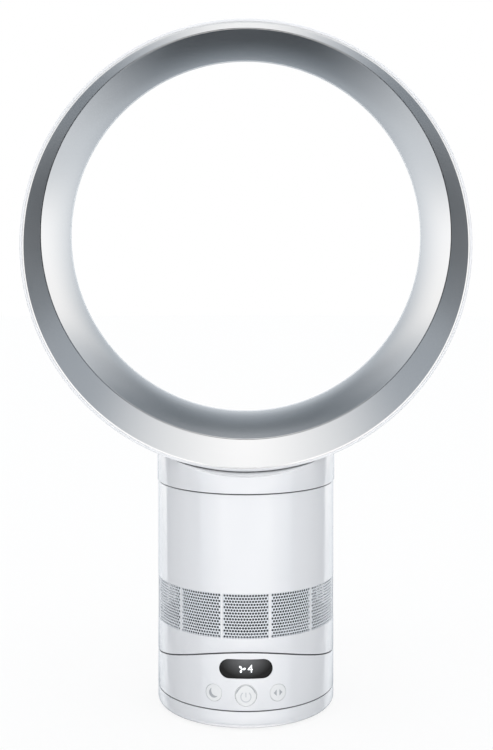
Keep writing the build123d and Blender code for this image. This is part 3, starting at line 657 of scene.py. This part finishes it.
barrel = bmesh.new()
line = spaced(belly_middle, 64) + [
    (body_radius, belly_middle), (body_radius, window_low), (body_radius, window_high),
    (body_radius, body_top), (inner_radius, body_top), (inner_radius, window_high),
    (inner_radius, window_low), (inner_radius, belly_inner_middle),
] + spaced(belly_inner_middle, 64)[::-1]
points = [barrel.verts.new((r * MM, 0, z * MM)) for r, z in line]
edges = [barrel.edges.new(pair) for pair in zip(points, points[1:])]
swung(barrel, points, -window_turn / 2)
across = bmesh.ops.spin(barrel, geom=points + edges, axis=(0, 0, 1), cent=(0, 0, 0), steps=26,
                        angle=math.radians(window_turn))
bmesh.ops.spin(barrel, geom=across["geom_last"], axis=(0, 0, 1), cent=(0, 0, 0), steps=2,
               angle=math.radians(window_pitch - window_turn))


def all_round(bm):
    """Repeats a shape for the other windows, round the column."""
    steps = window_count - 1
    bmesh.ops.spin(bm, geom=bm.verts[:] + bm.edges[:] + bm.faces[:], steps=steps,
                   axis=(0, 0, 1), cent=(0, 0, 0), angle=math.radians(steps * window_pitch),
                   use_duplicate=True)


all_round(barrel)
bmesh.ops.remove_doubles(barrel, verts=barrel.verts, dist=TOUCH)


def window_of(point):
    """The number of the window that a point lies in line with, or None on a rib."""
    turn = math.degrees(math.atan2(point.y, point.x)) / window_pitch
    nearest = round(turn)
    inside = abs(turn - nearest) * window_pitch < window_turn / 2 + 0.01
    return nearest % window_count if inside else None


panes = [f for f in barrel.faces
         if window_low * MM < f.calc_center_median().z < window_high * MM
         and f.calc_center_median().xy.length > inside_wall * MM
         and window_of(f.calc_center_median()) is not None]
bmesh.ops.delete(barrel, geom=panes, context="FACES")
for number in range(window_count):
    frame_edges = [e for e in barrel.edges if e.is_boundary and all(
        window_of(v.co) == number for v in e.verts)]
    bmesh.ops.bridge_loops(barrel, edges=frame_edges)
seam = troughed(barrel, belly_middle, belly_radius)
troughed(barrel, belly_inner_middle, belly_inner_radius)
eased(barrel, seam, seam_ease)
top_edge = [e for e in barrel.edges if all(
    abs(v.co.z - body_top * MM) < TOUCH and v.co.xy.length > (body_radius - 0.1) * MM
    for v in e.verts)]
eased(barrel, top_edge, moulded_edge)
finished(barrel, "body_barrel", "main_body", white_gloss,
         replaced=["body_shell"])


# ---- Intake screen ----------------------------------------------------------------------------
# A thin moulded sleeve behind the windows. Its raised panels fill them almost flush, and each is
# pierced by fifteen staggered rows of round holes with crisp rims.

screen_face, screen_wall, screen_gap, screen_flange = 71.9, 0.4, 0.15, 1.0
hole_radius, hole_sides = 0.93, 10
row_count, holes_in_row = 15, 16
panel_low, panel_high = window_low + screen_gap, window_high - screen_gap
panel_half_turn = math.radians(window_turn / 2) - screen_gap / body_radius
cell_width = 2 * panel_half_turn * screen_face / holes_in_row
cell_height = (panel_high - panel_low) / row_count
slack = 5e-6


def cell(bm, half_width, half_height):
    """One square of the screen, with a hole in it, on points that match its neighbours'."""
    ring = bmesh.ops.create_circle(bm, cap_ends=False, segments=hole_sides,
                                   radius=hole_radius * MM)["verts"]
    edges = list({e for v in ring for e in v.link_edges})
    spots = [(-1, -1), (0, -1), (1, -1), (1, 1), (0, 1), (-1, 1)]
    border = [bm.verts.new((x * half_width * MM, z * half_height * MM, 0)) for x, z in spots]
    edges += [bm.edges.new((border[i - 1], border[i])) for i in range(len(border))]
    bmesh.ops.triangle_fill(bm, use_beauty=True, use_dissolve=False, edges=edges)


screen = bmesh.new()
cell(screen, cell_width / 2, cell_height / 2)
master = screen.verts[:] + screen.edges[:] + screen.faces[:]
for row in range(row_count):
    inset = row % 2
    z = (row + 0.5) * cell_height
    for column in range(holes_in_row - inset):
        x = (column + 0.5 + inset / 2 - holes_in_row / 2) * cell_width
        copy = bmesh.ops.duplicate(screen, geom=master)["geom"]
        shifted(screen, only_points(copy), x, z)
    if inset:
        for side in (-1, 1):
            x = side * (holes_in_row / 2 - 0.25) * cell_width
            blank = bmesh.ops.create_grid(screen, x_segments=1, y_segments=1, size=0.5)["verts"]
            bmesh.ops.scale(screen, verts=blank, vec=(cell_width / 2 * MM, cell_height * MM, 1))
            shifted(screen, blank, x, z)
bmesh.ops.delete(screen, geom=only_points(master), context="VERTS")
bmesh.ops.remove_doubles(screen, verts=screen.verts, dist=2e-6)
panel_side = holes_in_row / 2 * cell_width * MM - slack
panel_top = row_count * cell_height * MM - slack
sides = [e for e in screen.edges if e.is_boundary and (
    all(abs(v.co.x) > panel_side for v in e.verts) or all(v.co.y < slack for v in e.verts)
    or all(v.co.y > panel_top for v in e.verts))]
flange = bmesh.ops.extrude_edge_only(screen, edges=sides)["geom"]
shifted(screen, only_points(flange), z=-screen_flange)
for v in screen.verts:
    turn = v.co.x / (screen_face * MM)
    radius = screen_face * MM + v.co.z
    v.co = (radius * math.sin(turn), -radius * math.cos(turn), panel_low * MM + v.co.y)
all_round(screen)
screen_grey = plastic("screen_grey", (0.76, 0.78, 0.81), 0.35, drift=0.03, ripple=0.003,
                      coat=0.1)
band = finished(screen, "intake_band", "main_body", screen_grey,
                replaced=["intake_screen"])
rims = bmesh.new()
rims.from_mesh(band.data)
for e in rims.edges:
    e.smooth = e.smooth and not e.is_boundary
rims.to_mesh(band.data)
rims.free()
wall = band.modifiers.new("wall", "SOLIDIFY")
wall.thickness = screen_wall * MM
wall.offset = -1


# ---- Neck collar ------------------------------------------------------------------------------
# The white collar between the barrel and the loop. Its roof is hollowed to the loop's curve, so
# a narrow ledge shows in front of the loop, and a spigot below it twists into the barrel. A
# near-black ring sits round the spigot, just under the collar: painted shade, standing in for
# the shadow in the seam.

collar_radius, collar_base = 72.7, 182.5
casing_level, seat_radius, roof_under_radius = 374.0, 178.7, 181.2
roof_middle, roof_under_middle = casing_level - seat_radius, casing_level - roof_under_radius
ledge_ease = 0.6
spigot_radius, spigot_bore, spigot_low = 66.4, 64.4, 170.5

collar = bmesh.new()
turned(collar, spaced(roof_middle, 66, 6) + [
    (collar_radius, roof_middle), (collar_radius, collar_base, moulded_edge),
    (spigot_radius, collar_base), (spigot_radius, spigot_low), (spigot_bore, spigot_low),
    (spigot_bore, roof_under_middle),
] + spaced(roof_under_middle, 60, 6)[::-1])
ledge = troughed(collar, roof_middle, seat_radius, casing_level, along=0)
troughed(collar, roof_under_middle, roof_under_radius, casing_level, along=0)
eased(collar, ledge, ledge_ease)
finished(collar, "neck_ring", "loop", white_gloss, replaced=["neck_collar"])

# Painted shade: a near-black ring just under the collar, standing in for the shadow in the seam.
neck_shade_radius, neck_shade_low = 70.9, 181.65
seam_shade_black = plastic("seam_shade_black", (0.012, 0.012, 0.013), 0.95, drift=0.3, ripple=0.0003,
                     depth=0.00003)
neck_shade_ring = bmesh.new()
flat_ring(neck_shade_ring, spigot_radius, neck_shade_radius, neck_shade_low, collar_base)
finished(neck_shade_ring, "neck_seam_shade", "loop", seam_shade_black)


# ---- Loop casing ------------------------------------------------------------------------------
# The white outer shell of the air loop, a drum with a rounded rear edge. Its rear wall turns in
# and runs forwards again as the thin lip of the air slot, about the bore's higher centre.

casing_radius, casing_inner = 178.0, 175.9
loop_front, loop_rear, rear_inner = -52.0, 54.0, 51.6
inner_edge, outer_edge, rear_bend = 0.5, 0.8, 11.0
rear_flat, inner_flat, inner_bend_depth = 163.0, 168.9, 44.6
bore_level = 382.0
mouth_radius, mouth_inner = 156.8, 158.0
lip_inner, lip_outer, lip_tip, lip_root, lip_edge = 150.4, 151.6, 38.0, 46.0, 0.3
loop_steps = 480


def hooped(bm, corners, level):
    """Spins an outline of (radius, depth) corners about a fore-and-aft axis at a level."""
    made = turned(bm, corners, steps=loop_steps)
    swung(bm, made, -90, "X")
    shifted(bm, made, z=level)


def hoop(bm, radius, depth, level):
    """The ring of edges at a radius and depth about an axis at a level."""
    centre = Vector((0, depth * MM, level * MM))

    def there(v):
        return (abs(v.co.y - centre.y) < TOUCH
                and abs((v.co - centre).length - radius * MM) < 2 * TOUCH)

    return [e for e in bm.edges if there(e.verts[0]) and there(e.verts[1])]


casing = bmesh.new()
hooped(casing, [(inner_flat, rear_inner), (casing_inner, inner_bend_depth),
                (casing_inner, loop_front, inner_edge), (casing_radius, loop_front, outer_edge),
                (casing_radius, loop_rear, rear_bend), (rear_flat, loop_rear)], casing_level)
hooped(casing, [(mouth_radius, loop_rear), (lip_inner, lip_root), (lip_inner, lip_tip, lip_edge),
                (lip_outer, lip_tip, lip_edge), (lip_outer, lip_root),
                (mouth_inner, rear_inner)], bore_level)
bmesh.ops.bridge_loops(casing, edges=hoop(casing, rear_flat, loop_rear, casing_level)
                       + hoop(casing, mouth_radius, loop_rear, bore_level))
bmesh.ops.bridge_loops(casing, edges=hoop(casing, inner_flat, rear_inner, casing_level)
                       + hoop(casing, mouth_inner, rear_inner, bore_level))
finished(casing, "loop_drum", "loop", white_gloss, replaced=["loop_casing"])


# ---- Diffuser ring ----------------------------------------------------------------------------
# The silver inner wall of the loop, painted plastic. A slightly bowed cone opens forwards from
# the rounded nose to a crisp ridge that leans with the bore's mouth. A hairline groove parts it
# from the flare, which runs out to the casing's lower circle.

nose_centre_radius, nose_depth, nose_radius, nose_sweep = 159.7, 30.0, 10.5, 84.0
throat_angle, wall_steps = 3.0, 10
ridge_radius, ridge_depth, ridge_lean = 162.5, -36.0, 2.0
groove = [(0.3, -0.25), (0.65, 0.25), (0.7, -0.55)]
flare_front, flare_edge, ridge_back = -51.0, 174.8, 164.7
shell_thickness, nose_end_inset, nose_inside = 2.2, 0.3, 7.47
silver_paint = plastic("silver_paint", (0.515, 0.52, 0.528), 0.23, drift=0.04, polish_drift=0.05,
                       ripple=0.0005, depth=0.0000012, metallic=1.0, coat=0.15)


def drawn(bm, start, corners):
    """A line of edges from a point through (radius, depth) corners. Gives its last point."""
    last = start
    for r, depth in corners:
        point = bm.verts.new((r * MM, 0, depth * MM))
        bm.edges.new((last, point))
        last = point
    return last


opening = math.radians(throat_angle)
sweep_start = math.radians(180 - nose_sweep)
ring = bmesh.new()
nose_end = (nose_centre_radius + nose_radius * math.cos(sweep_start),
            nose_depth + nose_radius * math.sin(sweep_start))
start = ring.verts.new((nose_end[0] * MM, 0, nose_end[1] * MM))
nose = bmesh.ops.spin(ring, geom=[start], steps=24, angle=math.pi + opening - sweep_start,
                      axis=(0, -1, 0), cent=(nose_centre_radius * MM, 0, nose_depth * MM))
throat = (nose_centre_radius - nose_radius * math.cos(opening),
          nose_depth - nose_radius * math.sin(opening))
half_way = (throat[1] - ridge_depth) / 2
bend = (throat[0] + half_way * math.tan(opening), throat[1] - half_way)
bow = [step / wall_steps for step in range(1, wall_steps + 1)]
ridge = drawn(ring, nose["geom_last"][0], [
    [(1 - t) ** 2 * a + 2 * t * (1 - t) * b + t ** 2 * c
     for a, b, c in zip(throat, bend, (ridge_radius, ridge_depth))] for t in bow])
drawn(ring, ridge, [(ridge_radius + out, ridge_depth + back) for out, back in groove])
drawn(ring, start, [(nose_end[0] + nose_end_inset, nose_end[1] - shell_thickness),
                    (nose_centre_radius - nose_inside, nose_depth + shell_thickness),
                    (ridge_back, ridge_depth)])
bmesh.ops.spin(ring, geom=ring.verts[:] + ring.edges[:], axis=(0, 0, 1), cent=(0, 0, 0),
               steps=loop_steps, angle=2 * math.pi, use_merge=True)
swung(ring, ring.verts, -90, "X")
shifted(ring, ring.verts, z=bore_level)
hooped(ring, [(flare_edge, flare_front), (casing_inner, flare_front)], casing_level)
bmesh.ops.bridge_loops(ring, edges=hoop(ring, ridge_radius + groove[-1][0],
                                        ridge_depth + groove[-1][1], bore_level)
                       + hoop(ring, flare_edge, flare_front, casing_level))
bmesh.ops.bridge_loops(ring, edges=hoop(ring, ridge_back, ridge_depth, bore_level)
                       + hoop(ring, casing_inner, flare_front, casing_level))
lowest_ridge = (bore_level - ridge_back) * MM
for v in ring.verts:
    share = (nose_depth * MM - v.co.y) / ((nose_depth - ridge_depth) * MM)
    if flare_front * MM + TOUCH < v.co.y < nose_depth * MM:
        v.co.y -= share ** 2 * math.tan(math.radians(ridge_lean)) * (v.co.z - lowest_ridge)
finished(ring, "loop_diffuser", "loop", silver_paint, crease=20, replaced=["diffuser_ring"])


# ---- Works inside -----------------------------------------------------------------------------
# The pieces that only show through gaps, holes or from below keep their solids, each with the
# finish of what it is: nylon gears, grey mouldings, rubber, steel, copper and circuit board. The
# grey mouldings are coloured near black as painted shade, so that what shows through the
# screen's holes reads dark.

nylon = plastic("nylon", (0.72, 0.70, 0.62), 0.45, drift=0.06, ripple=0.0015, depth=0.000004)
# Grey mouldings, coloured near black as painted shade behind the screen's holes.
grey_moulding_painted_shade = plastic("grey_moulding_painted_shade", (0.045, 0.047, 0.05), 0.45, drift=0.08, ripple=0.001,
                        depth=0.000005)
rubber = plastic("rubber", (0.02, 0.02, 0.021), 0.75, drift=0.15, ripple=0.0005, depth=0.00001)
iron_sheet = plating("iron_sheet", (0.30, 0.30, 0.32), 0.45)
wound_copper = plating("wound_copper", (0.72, 0.36, 0.18), 0.32)
magnet_black = plastic("magnet_black", (0.05, 0.05, 0.055), 0.5, drift=0.1, ripple=0.0007,
                       depth=0.000006, metallic=0.4)
board_green = plastic("board_green", (0.02, 0.13, 0.06), 0.3, drift=0.2, ripple=0.001,
                      depth=0.000004, coat=0.4)
finishes = {
    nylon: ["toothed_sector", "glide_posts", "drive_pinion"],
    grey_moulding_painted_shade: ["hub_retainer", "turntable_deck", "display_module", "infrared_receiver",
                    "press_switches", "tilt_carriage", "impeller_housing", "motor_bucket",
                    "bucket_cap", "impeller", "air_divider", "slot_spacers", "swing_motor"],
    rubber: ["foot_pads", "mount_ring"],
    bright_steel: ["bearing_cartridge", "motor_shaft", "impeller_nut"],
    iron_sheet: ["stator_core"],
    wound_copper: ["stator_coils"],
    magnet_black: ["rotor_magnet"],
    board_green: ["control_board", "mains_board", "motor_board"],
}
for material, names in finishes.items():
    for name in names:
        nodes[name].data.materials.clear()
        nodes[name].data.materials.append(material)


# ---- Studio -----------------------------------------------------------------------------------
# A pale floor without an edge in view, and the camera of a product picture, level with the loop.
# The room all round lights the fan with soft panels and gaps; the camera sees it plain white.

camera_distance, camera_height = 1.037, 0.3709
camera = bpy.data.cameras.new("camera")
camera.sensor_width = 36
camera.lens = 60.24
camera.shift_x = 0.0008
camera.shift_y = -0.168
camera.clip_start, camera.clip_end = 0.01, 50
viewer = bpy.data.objects.new("camera", camera)
viewer.location = (0, -camera_distance, camera_height)
viewer.rotation_euler = (math.pi / 2, 0, 0)
bpy.context.scene.collection.objects.link(viewer)
bpy.context.scene.camera = viewer

floor_radius, floor_own_white = 6, 0.85
floor_mesh = bmesh.new()
bmesh.ops.create_circle(floor_mesh, cap_ends=True, segments=96, radius=floor_radius)
floor_data = bpy.data.meshes.new("floor")
floor_mesh.to_mesh(floor_data)
floor_mesh.free()
floor = bpy.data.objects.new("floor", floor_data)
bpy.context.scene.collection.objects.link(floor)
paper = bpy.data.materials.new("floor_paper")
paper.use_nodes = True
tree = paper.node_tree
paint = tree.nodes["Principled BSDF"]
paint.inputs["Base Color"].default_value = (0.86, 0.86, 0.86, 1)
paint.inputs["Roughness"].default_value = 0.9
shine = tree.nodes.new("ShaderNodeEmission")
path = tree.nodes.new("ShaderNodeLightPath")
share = tree.nodes.new("ShaderNodeMath")
share.operation = "MULTIPLY"
share.inputs[1].default_value = floor_own_white
blend = tree.nodes.new("ShaderNodeMixShader")
tree.links.new(path.outputs["Is Camera Ray"], share.inputs[0])
tree.links.new(share.outputs[0], blend.inputs["Fac"])
tree.links.new(paint.outputs["BSDF"], blend.inputs[1])
tree.links.new(shine.outputs["Emission"], blend.inputs[2])
clear = tree.nodes.new("ShaderNodeBsdfTransparent")
unmirrored = tree.nodes.new("ShaderNodeMixShader")
tree.links.new(path.outputs["Is Glossy Ray"], unmirrored.inputs["Fac"])
tree.links.new(blend.outputs["Shader"], unmirrored.inputs[1])
tree.links.new(clear.outputs["BSDF"], unmirrored.inputs[2])
tree.links.new(unmirrored.outputs["Shader"], tree.nodes["Material Output"].inputs["Surface"])
floor_data.materials.append(paper)

# The room's light by height above the horizon: stops of (turn from the front, level), both
# angles in degrees and the same on either side. A level of 1 shows a white as white.
room_levels = {
    -70: [(0, 2.1)],
    -53: [(0, 0.75), (90, 0.83), (150, 0.67)],
    -42: [(0, 0.28), (90, 0.54), (135, 0.58), (165, 0.05)],
    -34: [(0, 0.48), (90, 0.33), (135, 0.76), (165, 0.07)],
    -25: [(0, 2.0), (46, 1.0), (58, 0.8), (62, 0.08), (108, 0.0), (137, 1.18), (165, 0.32)],
    -14: [(0, 2.25), (28, 2.1), (32, 2.0), (34, 1.65), (52, 1.0), (58, 0.8), (62, 0.08),
          (84, 0.04), (100, 0.0), (116, 0.1), (123, 0.3), (126, 1.27), (154, 1.0), (172, 0.5)],
    0: [(0, 1.85), (28, 2.25), (32, 2.2), (34, 1.85), (52, 1.15), (58, 0.95), (62, 0.08),
        (84, 0.04), (100, 0.0), (116, 0.2), (123, 0.45), (126, 2.2), (154, 1.25), (172, 0.76)],
    14: [(0, 1.2), (46, 0.98), (58, 0.88), (62, 0.2), (108, 0.1), (137, 1.87), (165, 0.64),
         (178, 0.95)],
    25: [(0, 1.3), (46, 0.78), (76, 0.5), (108, 0.19), (137, 1.1), (165, 0.29), (178, 0.5)],
    38: [(0, 0.77), (90, 0.6), (135, 0.46), (165, 0.23)],
    57: [(0, 1.67), (90, 1.18), (150, 1.04)],
    77: [(0, 2.5)],
}
brightest = 3.0
coolest, cool_loss, warmest = 0.14, 0.09, -0.02
world = bpy.data.worlds.new("studio")
bpy.context.scene.world = world
world.use_nodes = True
world.cycles.sampling_method = "NONE"
tree = world.node_tree
room = tree.nodes["Background"]
room.inputs["Strength"].default_value = brightest
toward = tree.nodes.new("ShaderNodeTexCoord")
parts = tree.nodes.new("ShaderNodeSeparateXYZ")
tree.links.new(toward.outputs["Generated"], parts.inputs["Vector"])


def worked(operation, *values):
    """A sum in the studio's nodes, on sockets or plain numbers."""
    node = tree.nodes.new("ShaderNodeMath")
    node.operation = operation
    for socket, value in zip(node.inputs, values):
        if isinstance(value, (int, float)):
            socket.default_value = value
        else:
            tree.links.new(value, socket)
    return node.outputs[0]


turn = worked("ARCTAN2", parts.outputs["X"], worked("MULTIPLY", parts.outputs["Y"], -1))
round_share = worked("DIVIDE", worked("ABSOLUTE", turn), math.pi)
height = worked("MULTIPLY", worked("ARCSINE", parts.outputs["Z"]), 180 / math.pi)
level_below, mixed = None, None
for level, stops in room_levels.items():
    ramp = tree.nodes.new("ShaderNodeValToRGB")
    line = ramp.color_ramp.elements
    line.remove(line[1])
    for at, light in stops:
        stop = line.new(at / 180) if at else line[0]
        cool = max(coolest - cool_loss * light, warmest)
        stop.color = [light / brightest * tint for tint in (1 - cool, 1, 1 + cool)] + [1]
    tree.links.new(round_share, ramp.inputs["Fac"])
    if mixed is None:
        mixed = ramp.outputs["Color"]
    else:
        rise = tree.nodes.new("ShaderNodeMapRange")
        rise.interpolation_type = "SMOOTHSTEP"
        rise.inputs["From Min"].default_value = level_below
        rise.inputs["From Max"].default_value = level
        tree.links.new(height, rise.inputs["Value"])
        over = tree.nodes.new("ShaderNodeMixRGB")
        tree.links.new(rise.outputs["Result"], over.inputs["Fac"])
        tree.links.new(mixed, over.inputs["Color1"])
        tree.links.new(ramp.outputs["Color"], over.inputs["Color2"])
        mixed = over.outputs["Color"]
    level_below = level
tree.links.new(mixed, room.inputs["Color"])
white_room = tree.nodes.new("ShaderNodeBackground")
white_room.inputs["Color"].default_value = (1, 1, 1, 1)
seen = tree.nodes.new("ShaderNodeLightPath")
either_room = tree.nodes.new("ShaderNodeMixShader")
tree.links.new(seen.outputs["Is Camera Ray"], either_room.inputs["Fac"])
tree.links.new(room.outputs["Background"], either_room.inputs[1])
tree.links.new(white_room.outputs["Background"], either_room.inputs[2])
tree.links.new(either_room.outputs["Shader"], tree.nodes["World Output"].inputs["Surface"])

bpy.context.scene.view_settings.view_transform = "Standard"
